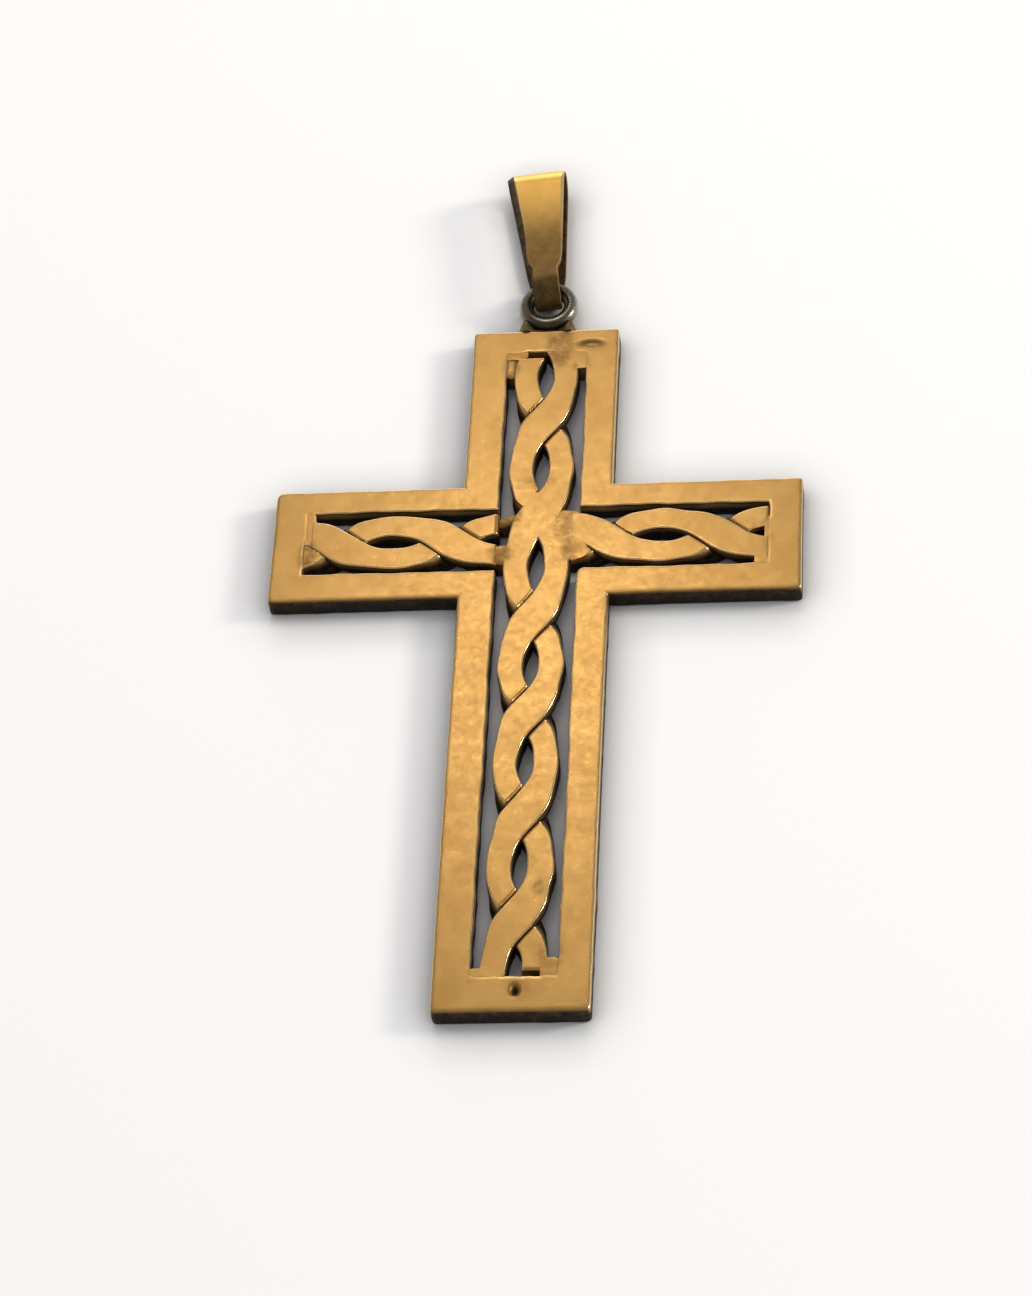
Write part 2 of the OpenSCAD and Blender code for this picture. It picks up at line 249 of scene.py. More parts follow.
# A punch mark on the foot, and the shallow worn hollow at the head's right corner
punch = spot(x, y, 0.25, -33.42, 0.36, 0.55)
hollow = spot(x, y, 3.0, 15.98, 1.2, 0.5)
worn_mark = 0.75 * hollow * (1 - 0.7 * spot(x, y, 3.1, 15.9, 0.75, 0.2))
on_face = height > face_z - 0.02
height = height - on_face * (0.2 * punch + 0.05 * hollow)
plate = skin(
    "pierced_plate",
    np.stack([x, y, height], -1),
    closed=True,
    edge=edge,
    recess=np.maximum(np.maximum(recess(height), foot_rim_shade), on_face * np.maximum(punch, worn_mark)),
    stain=on_face * heat(x, y),
)
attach(plate, "cross")
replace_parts(plate, "frame")


def node(tree, kind, settings=None, inputs=None):
    """Adds a node. Each input takes a plain value or another node's output."""
    made = tree.nodes.new(kind)
    for name, value in (settings or {}).items():
        setattr(made, name, value)
    for name, value in (inputs or {}).items():
        if isinstance(value, bpy.types.NodeSocket):
            tree.links.new(value, made.inputs[name])
        else:
            made.inputs[name].default_value = value
    return made


def blend_colour(tree, share, a, b, how="MIX"):
    made = node(tree, "ShaderNodeMix", {"data_type": "RGBA", "blend_type": how}, {0: share, 6: a, 7: b})
    return made.outputs[2]


def maths(tree, how, a, b=0.0, clamp=False):
    made = node(tree, "ShaderNodeMath", {"operation": how, "use_clamp": clamp}, {0: a, 1: b})
    return made.outputs[0]


def ramp(tree, value, low, high):
    """0 below low and 1 above high."""
    made = node(
        tree, "ShaderNodeMapRange", {"interpolation_type": "SMOOTHSTEP"},
        {"Value": value, "From Min": low, "From Max": high},
    )
    return made.outputs["Result"]


def noise(tree, where, per_mm, detail=3.0, rough=0.55):
    """Noise with about per_mm features in each mm."""
    made = node(
        tree, "ShaderNodeTexNoise", None,
        {"Vector": where, "Scale": per_mm / MM, "Detail": detail, "Roughness": rough},
    )
    return made.outputs["Fac"]


def new_group(name, inputs, outputs):
    group = bpy.data.node_groups.new(name, "ShaderNodeTree")
    for socket, kind, value in inputs:
        made = group.interface.new_socket(socket, in_out="INPUT", socket_type="NodeSocket" + kind)
        if value is not None:
            made.default_value = value
    for socket, kind in outputs:
        group.interface.new_socket(socket, in_out="OUTPUT", socket_type="NodeSocket" + kind)
    return group, group.nodes.new("NodeGroupInput").outputs, group.nodes.new("NodeGroupOutput").inputs


# Tarnish: metal that is bright where it rubs, mottled on its faces, and blackened where it lies deep.
# Where a piece sets them, the recess mark also carries painted shade and the edge mark painted highlight and
# reflection.
tarnish, given, out = new_group(
    "tarnish",
    [
        ("Metal", "Color", (0.8, 0.5, 0.2, 1)), ("Deep", "Color", (0.05, 0.03, 0.02, 1)),
        ("Rubbed_and_highlight", "Color", (1, 0.8, 0.5, 1)), ("Brown", "Color", (0.3, 0.14, 0.05, 1)),
        ("Mottle", "Float", 0.5), ("Smooth", "Float", 0.3), ("Dull", "Float", 0.6),
    ],
    [("Color", "Color"), ("Roughness", "Float"), ("Bright", "Float")],
)
where = node(tarnish, "ShaderNodeTexCoord").outputs["Object"]
marks = {
    name: node(tarnish, "ShaderNodeAttribute", {"attribute_name": name}).outputs["Fac"]
    for name in ("edge", "recess", "stain")
}
cloud = noise(tarnish, where, 0.45, 4)
fleck = noise(tarnish, where, 5.0, 3)
speck = noise(tarnish, where, 1.7, 5, 0.7)
darker = blend_colour(tarnish, 1.0, given["Metal"], (0.80, 0.74, 0.66, 1), "MULTIPLY")
lighter = blend_colour(tarnish, 1.0, given["Metal"], (1.10, 1.12, 1.16, 1), "MULTIPLY")
face = blend_colour(tarnish, ramp(tarnish, cloud, 0.35, 0.65), darker, lighter)
face = blend_colour(tarnish, given["Mottle"], given["Metal"], face)
freckle = maths(tarnish, "MULTIPLY", ramp(tarnish, fleck, 0.58, 0.74), 0.35)
face = blend_colour(tarnish, maths(tarnish, "MULTIPLY", freckle, given["Mottle"]), face, given["Brown"])
patch = maths(tarnish, "MULTIPLY", marks["stain"], ramp(tarnish, speck, 0.18, 0.72))
face = blend_colour(tarnish, maths(tarnish, "MULTIPLY", patch, 0.8), face, given["Brown"])
torn = maths(tarnish, "ADD", 0.80, maths(tarnish, "MULTIPLY", speck, 0.4))
ragged = maths(tarnish, "MULTIPLY", marks["recess"], torn, True)
face = blend_colour(tarnish, ragged, face, given["Deep"])
flecked = maths(tarnish, "MULTIPLY", ramp(tarnish, fleck, 0.3, 0.55), 0.45)
# The rubbed colour also paints highlight and reflection where the edge mark sets them
wear_and_highlight = maths(tarnish, "MULTIPLY", marks["edge"], maths(tarnish, "ADD", flecked, 0.55))
face = blend_colour(tarnish, maths(tarnish, "MULTIPLY", wear_and_highlight, 0.6), face, given["Rubbed_and_highlight"])
tarnish.links.new(face, out["Color"])
uneven = maths(tarnish, "MULTIPLY", maths(tarnish, "SUBTRACT", speck, 0.5), 0.25)
rough = maths(tarnish, "ADD", given["Smooth"], uneven)
rough = node(
    tarnish, "ShaderNodeMix", {"data_type": "FLOAT"},
    {0: maths(tarnish, "MAXIMUM", ragged, maths(tarnish, "MULTIPLY", patch, 0.6)), 2: rough, 3: given["Dull"]},
).outputs[0]
rough = maths(tarnish, "SUBTRACT", rough, maths(tarnish, "MULTIPLY", wear_and_highlight, 0.12), True)
tarnish.links.new(rough, out["Roughness"])
shine = maths(tarnish, "SUBTRACT", 1.0, maths(tarnish, "MULTIPLY", ragged, 0.85))
tarnish.links.new(shine, out["Bright"])

# Surface: the fine grain of a rubbed and matted metal face, with scratches and soft dents
surface, given, out = new_group(
    "metal_surface",
    [("Grain", "Float", 0.5), ("Scratches", "Float", 0.5), ("Dents", "Float", 0.5)],
    [("Height", "Float")],
)
where = node(surface, "ShaderNodeTexCoord").outputs["Object"]
total = maths(surface, "MULTIPLY", noise(surface, where, 9.0, 3, 0.6), given["Grain"])
for turned, seed in ((0.15, 0.0), (1.4, 3.0), (2.5, 7.0)):
    drawn = node(
        surface, "ShaderNodeMapping", None,
        {"Vector": where, "Rotation": (0, 0, turned), "Scale": (0.09, 2.2, 1.0), "Location": (seed, seed, 0)},
    ).outputs["Vector"]
    line = ramp(surface, noise(surface, drawn, 6.0, 2), 0.56, 0.72)
    total = maths(surface, "SUBTRACT", total, maths(surface, "MULTIPLY", line, given["Scratches"]))
dent = maths(surface, "MULTIPLY", noise(surface, where, 0.55, 2), given["Dents"])
total = maths(surface, "ADD", total, dent)
surface.links.new(total, out["Height"])


def metal(name, colours, smooth, dull, mottle, grain, scratches, dents, depth):
    """A metal finish. Colours are the bare metal, the deep tarnish and painted shade, the rubbed edge and
    painted highlight, and the stain.
    """
    made = bpy.data.materials.new(name)
    made.use_nodes = True
    tree = made.node_tree
    tree.nodes.clear()
    aged = node(tree, "ShaderNodeGroup", {"node_tree": tarnish})
    for socket, colour in zip(("Metal", "Deep", "Rubbed_and_highlight", "Brown"), colours):
        aged.inputs[socket].default_value = (*colour, 1)
    for socket, value in (("Mottle", mottle), ("Smooth", smooth), ("Dull", dull)):
        aged.inputs[socket].default_value = value
    relief = node(tree, "ShaderNodeGroup", {"node_tree": surface})
    for socket, value in (("Grain", grain), ("Scratches", scratches), ("Dents", dents)):
        relief.inputs[socket].default_value = value
    bump = node(
        tree, "ShaderNodeBump", None,
        {"Strength": 1.0, "Distance": depth * MM, "Height": relief.outputs["Height"]},
    )
    shader = node(
        tree, "ShaderNodeBsdfPrincipled", None,
        {
            "Base Color": aged.outputs["Color"], "Roughness": aged.outputs["Roughness"],
            "Metallic": aged.outputs["Bright"], "Normal": bump.outputs["Normal"],
            "Specular IOR Level": 0.15,
        },
    )
    output = node(tree, "ShaderNodeOutputMaterial")
    tree.links.new(shader.outputs[0], output.inputs["Surface"])
    return made


gilt = metal(
    "gilt_brass",
    [(0.63, 0.35, 0.105), (0.016, 0.011, 0.007), (1.0, 0.80, 0.42), (0.20, 0.09, 0.03)],
    smooth=0.32, dull=0.62, mottle=0.38, grain=0.8, scratches=0.12, dents=0.22, depth=0.004,
)
plate.data.materials.append(gilt)


# ---- Twisted wires ------------------------------------------------------------------------------
# Two strands of thick gilded wire, twisted together and rolled flat, one twist down the upright and
# one in each arm. They are soldered in by their ends and rubbed flush with the plate's face.

wire_w = 1.65
crossing_w = 2.84
swing = (4.26 - wire_w) / 2
half_t = face_z / 2
crown = 1.6
crown_power = 2.5
dip_depth = 0.95


def turns(u, crossings, lay):
    """Crossings passed at u, in whole and part lays."""
    passed = np.interp(u, crossings, np.arange(len(crossings)))
    passed = passed + np.minimum(u - crossings[0], 0) / lay
    return passed + np.maximum(u - crossings[-1], 0) / lay


def half_width(turn):
    return (wire_w + (crossing_w - wire_w) * np.cos(np.pi * turn) ** 4) / 2


def middle(turn, side):
    return side * swing * np.sin(np.pi * turn)


def strand(name, to_plate, crossings, lay, side, u0, u1, seams, blunt=(0, 0), seed=1):
    """One strand of a twist, from u0 to u1 along it. Seams say how open the groove is before and
    after each crossing; blunt is how far each end is rounded over. Wire b, side -1, lies on top
    at the first crossing, and the two take turns after it."""
    step = 0.075
    u = np.linspace(u0, u1, int((u1 - u0) / step) + 1)
    turn = turns(u, crossings, lay)
    nearest = np.clip(np.round(turn), 0, len(crossings) - 1).astype(int)
    off = turn - nearest
    close = np.abs(off) < 0.5
    mid, half = middle(turn, side), half_width(turn)
    mid = mid + waver(u, seed, 0.05)
    half = half + waver(u, seed + 20, 0.05)
    other_mid, other_half = middle(turn, -side), half_width(turn)
    slant = np.gradient(other_mid, u)
    squeeze = 1 / np.sqrt(1 + slant ** 2)
    opened = np.array([seams[n][0 if o < 0 else 1] for n, o in zip(nearest, off)])

    def half_shell(facing):
        """Points over one face of the strand, across it from right to left."""
        on_top = ((nearest % 2 == 0) == (side == -1)) == (facing == 1)
        under = close & ~on_top
        dip = np.where(under, dip_depth * np.abs(np.cos(np.pi * off)) ** 4, 0)
        facet = (1 - np.clip((half_t + dip) / crown, 0, 0.995) ** crown_power) ** (1 / crown_power)
        corner = 0.075

        def at_height(z):
            return (1 - np.clip((z + dip) / crown, 0, 1) ** crown_power) ** (1 / crown_power)

        low = at_height(half_t - corner)
        inset = np.maximum(facet - corner / half, 0.3 * facet)
        spread = [(at_height(z * half_t), z * half_t + 0 * u, 0 * u) for z in (0.02, 0.3, 0.6, 0.8)]
        for t in (0, 0.33, 0.66, 1):
            s = (1 - t) ** 2 * low + 2 * t * (1 - t) * facet + t * t * inset
            z = half_t - corner * (1 - t) ** 2
            spread.append((s, z + 0 * u, (0.5, 1, 1, 0.4)[int(t * 3 + 0.1)] + 0 * u))
        for share in np.linspace(0.9, -0.9, 19):
            spread.append((share * inset, half_t + 0 * u, 0 * u))
        spread += [(-s, z, e) for s, z, e in spread[7::-1]]
        s, z, rub = (np.stack(part, 1) for part in zip(*spread))
        v = mid[:, None] + s * half[:, None]
        beyond = (np.abs(v - other_mid[:, None]) - other_half[:, None]) * squeeze[:, None]
        shoulder = 0.10 + 0.12 * opened[:, None]
        sunk = np.clip((shoulder - beyond) / shoulder, 0, 1)
        sunk = 1 - np.sqrt(1 - sunk ** 2)
        filled = flooded(*to_plate(u[:, None] + 0 * v, v)) if facing == 1 else 0 * v
        sunk = sunk * (1 - filled)
        rim = np.abs(z - half_t + corner / 2) <= corner / 2 + 0.001
        z = z + (half_t - z) * filled * rim
        rub = rub * (1 - filled)
        floor_z = half_t * (1 - 0.95 * opened[:, None])
        beneath = beyond < 0
        floor_z = np.where(beneath, 0.02, floor_z)
        target = np.minimum(z, floor_z)
        z = np.where(under[:, None], z + (target - z) * sunk - 0.006 * filled, z)
        rub = np.where(under[:, None], rub * (1 - sunk) + 0.5 * sunk * (1 - sunk), rub)
        for end, size in zip((u0, u1), blunt):
            if size:
                left = np.clip(np.abs(u - end) / size, 0, 1)
                z = z - (size * 0.6 * (1 - np.sqrt(1 - (1 - left) ** 2)))[:, None]
        return v, np.maximum(z, 0.01), rub

    v_top, z_top, rub_top = half_shell(1)
    v_low, z_low, _ = half_shell(-1)
    v = np.concatenate([v_top, v_low[:, ::-1]], 1)
    z = np.concatenate([half_t + z_top, half_t - z_low[:, ::-1]], 1)
    rub = np.concatenate([rub_top, 0 * v_low], 1)
    u_all = np.repeat(u[:, None], v.shape[1], 1)
    x, y = to_plate(u_all, v)
    made = skin(
        name, np.stack([x, y, z], -1),
        edge=rub, recess=recess(z), stain=heat(x, y) * (z > half_t),
    )
    made.data.materials.append(gilt)
    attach(made, "cross")
    return made


def down(u, v):
    """From a twist's own directions to the upright."""
    return 0.12 + v, -u


def along(start):
    """From a twist's own directions to an arm's twist that starts at x = start."""
    return lambda u, v: (start + u, 0.12 + v)


upright_crossings = [-9.65, -2.1, 6.05, 13.2, 20.75, 28.25]
upright_seams = [(0.45, 1), (0, 0), (0.45, 1), (0.6, 1), (0.7, 1), (0.75, 1)]
upright_lay = 7.55
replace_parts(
    strand("upright_strand_a", down, upright_crossings, upright_lay, 1, -15.0, 32.45,
           upright_seams, (0.25, 0), 31),
    "upright_wire_a",
)
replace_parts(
    strand("upright_strand_b", down, upright_crossings, upright_lay, -1, -15.4, 32.05,
           upright_seams, (0, 0.2), 32),
    "upright_wire_b",
)

arm_lay = 7.4
arm_crossings = [1.8, 9.2]
left_seams = [(0, 0.4), (0.7, 0.6)]
right_seams = [(0.7, 0), (0.8, 0.5)]
left_x, right_x, arm_twist = -14.7, 2.55, 12.27
for name, start, side, u0, u1, seams, blunt, seed in (
    ("left_strand_a", left_x, 1, -0.2, arm_twist, left_seams, (0, 0.2), 41),
    ("left_strand_b", left_x, -1, 0.0, arm_twist, left_seams, (0.25, 0.3), 42),
    ("right_strand_a", right_x, 1, -0.2, arm_twist + 0.08, right_seams, (0, 0.05), 43),
    ("right_strand_b", right_x, -1, -0.2, arm_twist + 0.06, right_seams, (0, 0.12), 44),
):
    made = strand(name, along(start), arm_crossings, arm_lay, side, u0, u1, seams, blunt, seed)
    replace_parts(made, name.replace("strand", "arm_wire"))


# ---- Solder -------------------------------------------------------------------------------------
# Solder that floods the joints between the twists and the plate. It is rubbed flush with the face
# where it ran level, and left brown and sunken where it ran short.

solder = metal(
    "solder",
    [(0.30, 0.20, 0.08), (0.016, 0.012, 0.007), (0.8, 0.55, 0.28), (0.075, 0.05, 0.022)],
    smooth=0.42, dull=0.7, mottle=0.8, grain=0.8, scratches=0.1, dents=1.2, depth=0.012,
)


def fillet(name, at, size, top, sag, finish, turned=0.0, low=0.1, stain=0.0):
    """A pool of solder: an uneven oval that is level in its middle and falls away at its rim."""
    angle = np.linspace(0, 2 * np.pi, 41)[:-1]
    rings = []
    for share in (0.03, 0.3, 0.55, 0.75, 0.88, 0.96, 1.0):
        reach = share * (1 + waver(4 * angle, int(abs(at[0] * 10)) + 5, 0.1))
        power = 0.55
        dx = size[0] * np.sign(np.cos(angle)) * np.abs(np.cos(angle)) ** power * reach
        dy = size[1] * np.sign(np.sin(angle)) * np.abs(np.sin(angle)) ** power * reach
        x = at[0] + dx * math.cos(turned) - dy * math.sin(turned)
        y = at[1] + dx * math.sin(turned) + dy * math.cos(turned)
        z = top - sag * share ** 4 + waver(x * 3 + y * 5, 9, 0.15 * sag)
        rings.append(np.stack([x, y, z], -1))
    under = rings[-1].copy()
    under[:, 2] = low
    rings.append(under)
    rings = np.array(rings)
    deep = recess(rings[..., 2]) * 0.8
    made = skin(name, rings, edge=0 * deep, recess=deep, stain=stain + 0 * deep)
    made.data.materials.append(finish)
    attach(made, "cross")
    return made


level = face_z - 0.003
pools = {
    "head_solder": [
        ("head_fillet_left", (-2.25, 14.35), (0.42, 1.0), level - 0.05, 0.12, gilt, 0.0, 0.1, 0.7),
        ("head_fillet_right", (2.2, 14.85), (0.85, 0.9), level, 0.01, gilt, 0.0, 0.1, 0.2),
        ("head_fillet_top", (-2.05, 15.2), (0.85, 0.42), level, 0.01, gilt, 0.0, 0.1, 0.5),
    ],
    "foot_solder": [
        ("foot_fillet_left", (-1.9, -32.3), (1.0, 0.45), level, 0.01, gilt, 0.0, 0.1, 0.2),
        ("foot_fillet_right", (2.3, -31.95), (0.62, 0.75), level, 0.01, gilt, 0.0, 0.1, 0.3),
    ],
    "left_end_solder": [
        ("left_end_fillet", (-14.7, 1.4), (0.42, 1.35), level, 0.01, gilt, 0.0, 0.1, 0.1),
        ("left_end_pool", (-14.8, -0.85), (0.16, 0.95), face_z - 0.14, 0.15, solder, 0.0, 0.1, 0.8),
    ],
    "right_end_solder": [
        ("right_end_fillet", (14.6, -1.6), (0.6, 0.85), level, 0.01, gilt, 0.0, 0.1, 0.1),
        ("right_end_pool", (14.85, 0.1), (0.22, 1.3), level, 0.01, gilt, 0.0, 0.1, 0.3),
    ],
    "left_joint_solder": [
        ("left_joint_high", (-1.85, 1.65), (0.72, 0.40), level - 0.05, 0.22, gilt, 0.3, 0.1, 0.9),
        ("left_joint_low", (-2.1, -1.15), (0.75, 0.75), level, 0.06, gilt, 0.0, 0.1, 0.9),
    ],
    "right_joint_solder": [
        ("right_joint_high", (2.0, 1.0), (0.95, 1.25), level, 0.01, gilt, 0.0, 0.1, 0.5),
        ("right_joint_low", (2.1, -0.8), (0.85, 0.85), level, 0.04, gilt, 0.0, 0.1, 0.5),
    ],
}
for cad_node, parts in pools.items():
    for values in parts:
        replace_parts(fillet(*values), cad_node)


# ---- Hanging ring -------------------------------------------------------------------------------
# A closed ring of thick wire at the head, which the bail hangs from. Its gilding has worn to a dull
# grey brass, rubbed along its outer sides and lit there with a painted highlight, with a painted
# reflection and rubbing on its lower inside and painted shade round the rest of its inside.

ring_low, ring_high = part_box("hanging_ring")
ring_middle = (ring_low + ring_high) / 2 / MM
ring_od = (ring_high.x - ring_low.x) / MM
ring_wire = (ring_high.z - ring_low.z) / MM
ring_brass = metal(
    "ring_brass",
    [(0.13, 0.11, 0.07), (0.012, 0.010, 0.008), (0.66, 0.60, 0.50), (0.05, 0.04, 0.022)],
    smooth=0.28, dull=0.5, mottle=0.9, grain=0.5, scratches=0.3, dents=1.0, depth=0.01,
)
round_ring = np.linspace(0, 2 * np.pi, 97)[:-1][:, None]
round_wire = np.linspace(0, 2 * np.pi, 37)[:-1][None, :]
thick = ring_wire / 2 - 0.012 + 0.012 * np.sin(3 * round_ring + 1)
reach = (ring_od - ring_wire) / 2 + thick * np.cos(round_wire)
ring_x = ring_middle.x + reach * np.sin(round_ring)
ring_y = ring_middle.y - crossing_y + reach * np.cos(round_ring)
ring_z = ring_middle.z + thick * np.sin(round_wire)
# The outer sides get a painted highlight along with their rubbing
outside = ease(0.3, 0.9, np.cos(round_wire - 0.3)) * np.abs(np.sin(round_ring)) ** 3
# The lower inside gets a pale painted reflection along with rubbing, and no painted shade
worn_and_reflecting_in = ease(0.5, 0.95, np.sin(round_wire - 0.45)) * ease(-0.1, 0.7, np.cos(round_ring - 2.45))
# The rest of the inside of the wire is painted dark as shade
inside = ease(0.35, 1.0, -np.cos(round_wire)) * (1 - worn_and_reflecting_in)
ring = skin(
    "jump_ring", np.stack([ring_x, ring_y, ring_z], -1), closed=True,
    edge=np.maximum(0.8 * outside, 0.6 * worn_and_reflecting_in), recess=0.9 * inside,
    stain=0.9 * (1 - outside) * (1 - worn_and_reflecting_in) * ease(-0.4, 0.6, np.sin(round_wire)),
)
ring.data.materials.append(ring_brass)
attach(ring, "cross")
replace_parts(ring, "hanging_ring")


# ---- Ring solder --------------------------------------------------------------------------------
# The bridge of solder that holds the ring to the head: a lump on each side of the ring and a low
# fillet between them, run in thickly and never cleaned up.

lump_rings = []
for share in np.linspace(-1, 1, 41):
    bulge = 0.42 * (np.exp(-((abs(share) - 0.72) / 0.26) ** 2)) + 0.30
    taper = math.sqrt(max(1 - abs(share) ** 8, 0.01))
    lump = 1.05 if share < 0 else 0.78
    reach_y = (0.42 + lump * np.exp(-((abs(share) - 0.78) / 0.2) ** 2)) * taper
    angle = np.linspace(0, np.pi, 17)
    across_y = head_len - 0.05 + (reach_y + 0.05) * np.sin(angle) ** 0.8
    across_z = ring_middle.z - 0.16 + bulge * taper * np.cos(angle)
    lump_rings.append(np.stack([1.95 * share + 0 * angle, across_y, across_z], -1))
lump_rings = np.array(lump_rings)
lump_rings[..., 1] += 0.02 * np.sin(9 * lump_rings[..., 0])
ring_bridge = skin(
    "ring_bridge", lump_rings,
    edge=0 * lump_rings[..., 0],
    recess=0.55 * ease(0.2, 0.9, face_z - lump_rings[..., 2]),
    stain=0.9 + 0 * lump_rings[..., 0],
)
ring_bridge.data.materials.append(solder)
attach(ring_bridge, "cross")
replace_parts(ring_bridge, "ring_solder")


# ---- Bail ---------------------------------------------------------------------------------------
# A tapering strip of gilded brass folded round the ring and arched at its top, where a chain passes
# through. Its long edges are bevelled, and its ends butt in the back leaf. The left bevel and the
# inside are painted black as shade, the right bevel dark, and the strip darkens toward the ring with
# tarnish and painted shade.

lean = math.radians(6.3)
bail_len, arch_r, strip_t = 11.05, 1.45, 0.35
fold_out = 1.40
ring_mean = (ring_od - ring_wire) / 2
neck_half, low_half, top_half = 0.9, 1.225, 2.0
neck_start, neck_end = 1.975, 2.475
fold_y = math.sqrt(ring_mean ** 2 - neck_half ** 2)
arch_y = bail_len - arch_r
tilt = math.atan2(arch_r - fold_out, arch_y - fold_y)
spread_out = math.asin((arch_r - fold_out) / math.hypot(arch_y - fold_y, arch_r - fold_out))
front, back = tilt + math.pi / 2 + spread_out, tilt - math.pi / 2 - spread_out
butt_y = neck_end + 0.5


def leaf(angle, from_y, to_y, count):
    """Stations on a straight leaf, as place on the outer surface and outward angle."""
    at = np.linspace(from_y, to_y, count)
    share = (at - fold_y) / (arch_y - fold_y)
    y = at + math.cos(angle) * (fold_out + (arch_r - fold_out) * share)
    z = fold_out + (arch_r - fold_out) * share
    return [(a, b + math.sin(angle) * b, angle) for a, b in zip(y, z)]


def bend(at_y, at_z, radius, from_angle, to_angle, count):
    angles = np.linspace(from_angle, to_angle, count)[1:-1]
    return [(at_y + radius * math.cos(a), at_z + radius * math.sin(a), a) for a in angles]


stations = leaf(back, butt_y + 0.05, fold_y, 14)
stations += bend(fold_y, fold_out, fold_out, back, front - 2 * math.pi, 34)
stations += leaf(front, fold_y, arch_y, 60)
stations += bend(arch_y, arch_r, arch_r, front, back, 34)
stations += leaf(back, arch_y, butt_y + 0.03, 50)

# Across the strip: place from its middle and depth below the outer surface, both sides bevelled
rings = []
marks_edge, marks_recess = [], []
for at_y, at_z, angle in stations:
    half = np.interp(
        at_y, [0, neck_start, neck_end, bail_len], [neck_half, neck_half, low_half, top_half]
    )
    half = half - 0.06 * math.exp(-((at_y - neck_end) / 0.5) ** 2)
    broad = float(ease(1.8, 6.0, at_y))
    left_w, left_deep = 0.13 + 0.27 * broad, 0.12 + 0.13 * broad
    right_w, right_deep = 0.08 + 0.05 * broad, 0.08 + 0.02 * broad
    on_front = math.sin(angle) > 0
    # Tarnish and painted shade: the front leaf darkens toward the ring, the back leaf stays dark, and the fold
    # in the ring is near black
    dulled_and_shaded = 0.76 * (1 - ease(3.6, 9.8, at_y)) if on_front else 0.6
    dulled_and_shaded = max(dulled_and_shaded, 0.95 * (1 - float(ease(0.9, 2.6, at_y))))
    clean_and_lit = 1 - dulled_and_shaded
    xs = [-half, -half + 0.03, -half + left_w - 0.03, -half + left_w + 0.03]
    deep = [left_deep + 0.05, left_deep, 0.045, 0.012]
    rub = [0, 0, 0.2 * clean_and_lit, 0.8 * clean_and_lit]
    for share in np.linspace(0.04, 0.96, 13):
        xs.append(-half + left_w + share * (2 * half - left_w - right_w))
        deep.append(0.03 * (2 * share - 1) ** 4)
        rub.append(0)
    xs += [half - right_w - 0.02, half - right_w + 0.03, half - 0.03, half]
    deep += [0.02, 0.05, right_deep, right_deep + 0.04]
    rub += [0.5 * clean_and_lit, 0.9 * clean_and_lit, 0.6 * clean_and_lit, 0]
    # Painted shade: black on the left bevel, dark on the right bevel, and the face as darkened above
    dark = [1.0, 1.0, 1.0, dulled_and_shaded] + [dulled_and_shaded] * 13 + [dulled_and_shaded, max(0.2, dulled_and_shaded), 0.7, 0.9]
    # The inside of the strip, painted black as shade
    for share in (0.97, 0.5, 0, -0.5, -0.97):
        xs.append(half * share)
        deep.append(strip_t)
        rub.append(0)
        dark.append(1.0)
    xs, deep = np.array(xs), np.array(deep)
    y = at_y - deep * math.cos(angle)
    z = at_z - deep * math.sin(angle)
    x_turned = xs * math.cos(lean) - y * math.sin(lean)
    y_turned = xs * math.sin(lean) + y * math.cos(lean)
    rings.append(np.stack([x_turned, y_turned + ring_middle.y - crossing_y, z], -1))
    marks_edge.append(rub)
    marks_recess.append(np.array(dark) * 0.95)
bail = skin("bail_strip", np.array(rings), edge=np.array(marks_edge), recess=np.array(marks_recess),
            stain=np.zeros((len(rings), len(rings[0]))))
# A lighter copy of the gilt brass, which paints the bail's highlight
gilt_painted_highlight = metal(
    "gilt_painted_highlight",
    [(0.95, 0.54, 0.13), (0.030, 0.013, 0.008), (1.0, 0.86, 0.5), (0.20, 0.09, 0.03)],
    smooth=0.34, dull=0.55, mottle=0.3, grain=0.8, scratches=0.3, dents=0.2, depth=0.004,
)
bail.data.materials.append(gilt_painted_highlight)
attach(bail, "bail")
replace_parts(bail, "bail")

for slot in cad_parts["bail_solder"].material_slots:
    slot.material = solder
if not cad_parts["bail_solder"].material_slots:
    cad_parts["bail_solder"].data.materials.append(solder)


# ---- Floor --------------------------------------------------------------------------------------
# A plain pale sheet under the pendant, not part of it.

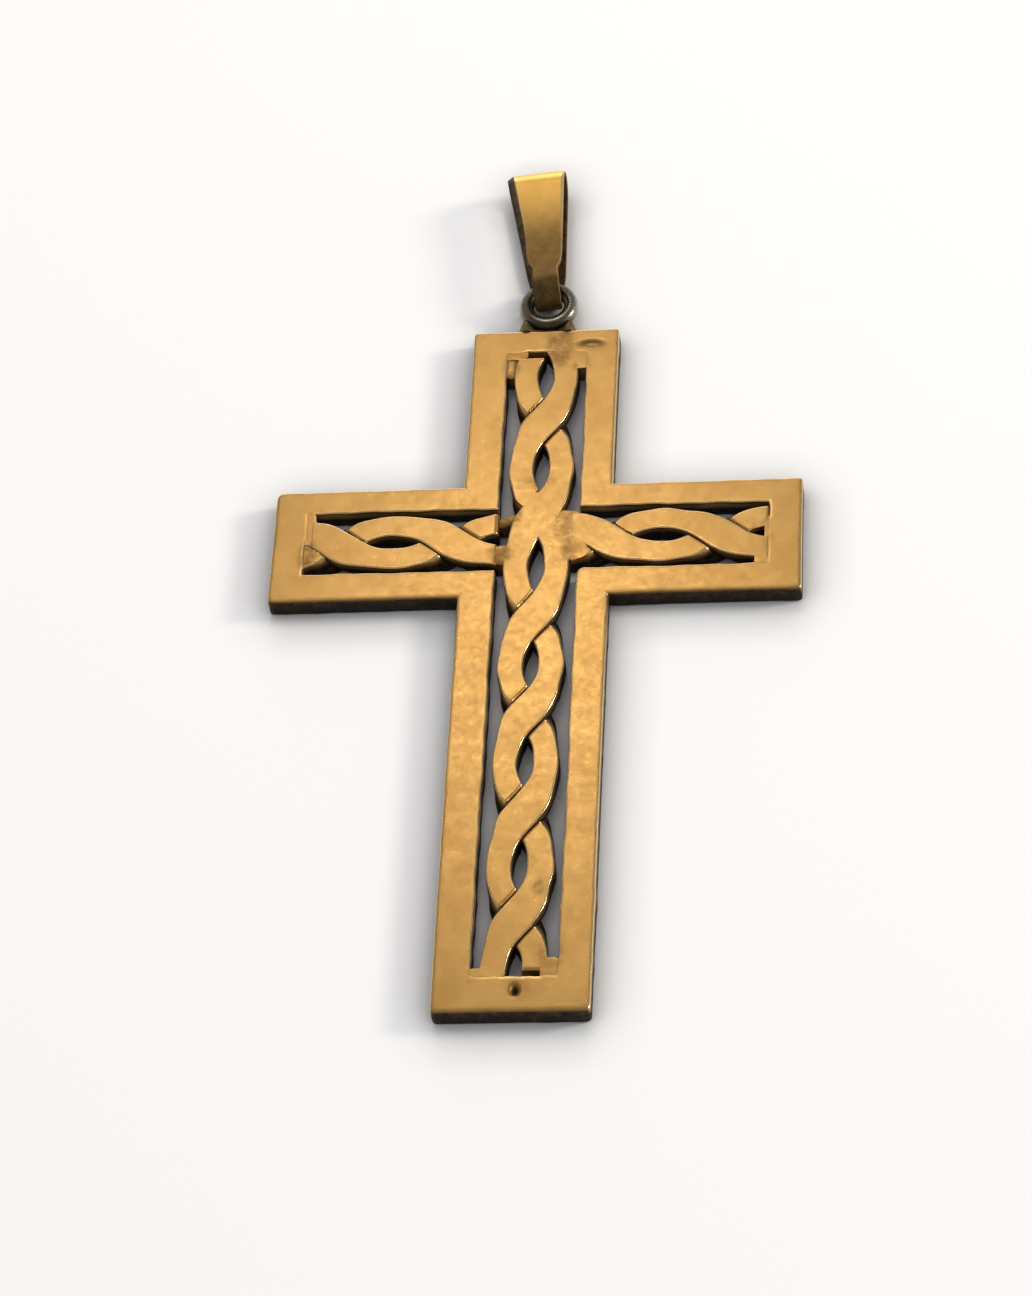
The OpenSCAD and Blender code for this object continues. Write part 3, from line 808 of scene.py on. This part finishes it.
bpy.ops.mesh.primitive_plane_add(size=3.0, location=(0, 0, -0.00001))
floor = bpy.context.object
floor.name = "floor"
floor_paint = bpy.data.materials.new("floor_paint")
floor_paint.use_nodes = True
floor_shader = floor_paint.node_tree.nodes["Principled BSDF"]
floor_shader.inputs["Base Color"].default_value = (0.93, 0.91, 0.88, 1)
floor_shader.inputs["Roughness"].default_value = 0.9
floor_shader.inputs["Emission Color"].default_value = (1.0, 0.985, 0.965, 1)
tree = floor_paint.node_tree
rays = node(tree, "ShaderNodeLightPath").outputs
seen = maths(tree, "MAXIMUM", rays["Is Camera Ray"], rays["Is Glossy Ray"])
seen = maths(tree, "MAXIMUM", seen, rays["Is Transmission Ray"])
# The glow fades near the pendant and in its openings, a painted contact shadow
open_sky = node(tree, "ShaderNodeAmbientOcclusion", None, {"Distance": 0.0035}).outputs["AO"]
glow_with_painted_shadow = maths(tree, "MULTIPLY", maths(tree, "POWER", open_sky, 4.0), 0.42)
tree.links.new(maths(tree, "MULTIPLY", seen, glow_with_painted_shadow), floor_shader.inputs["Emission Strength"])
floor.data.materials.append(floor_paint)


# ---- Light --------------------------------------------------------------------------------------
# A broad soft lamp behind the head, a second low at the right for the worn rims, and a pale room.

def lamp(name, place, size, power, colour, aim=(0, 0, 0)):
    data = bpy.data.lights.new(name, "AREA")
    data.shape = "DISK"
    data.size = size
    data.energy = power
    data.color = colour
    made = bpy.data.objects.new(name, data)
    bpy.context.collection.objects.link(made)
    made.location = place
    made.rotation_euler = (Vector(aim) - Vector(place)).to_track_quat("-Z", "Y").to_euler()
    return made


lamp("key_lamp", (-0.0206, 0.1075, 0.163), 0.04, 0.0195, (1.0, 0.98, 0.95))
lamp("window_lamp", (-0.06, 0.60, 0.19), 0.38, 0.65, (1.0, 0.98, 0.95))
lamp("right_lamp", (0.55, 0.10, 0.26), 0.14, 1.5, (1.0, 0.97, 0.90))
world = bpy.data.worlds.new("room")
bpy.context.scene.world = world
world.use_nodes = True
world.node_tree.nodes["Background"].inputs["Color"].default_value = (0.92, 0.94, 1.0, 1)
world.node_tree.nodes["Background"].inputs["Strength"].default_value = 0.38


# ---- Camera -------------------------------------------------------------------------------------
# Above the foot and a little to the right, looking down at the crossing of the arms.

camera_data = bpy.data.cameras.new("camera")
camera_data.lens = 122.2
camera_data.sensor_width = 36
camera_data.clip_start = 0.01
camera = bpy.data.objects.new("camera", camera_data)
bpy.context.collection.objects.link(camera)
camera.location = Vector((31.49, -165.47, 224.20)) * MM
camera.rotation_euler = [math.radians(a) for a in (35.59, 6.351, 2.70)]
bpy.context.scene.camera = camera
bpy.context.scene.view_settings.view_transform = "Standard"
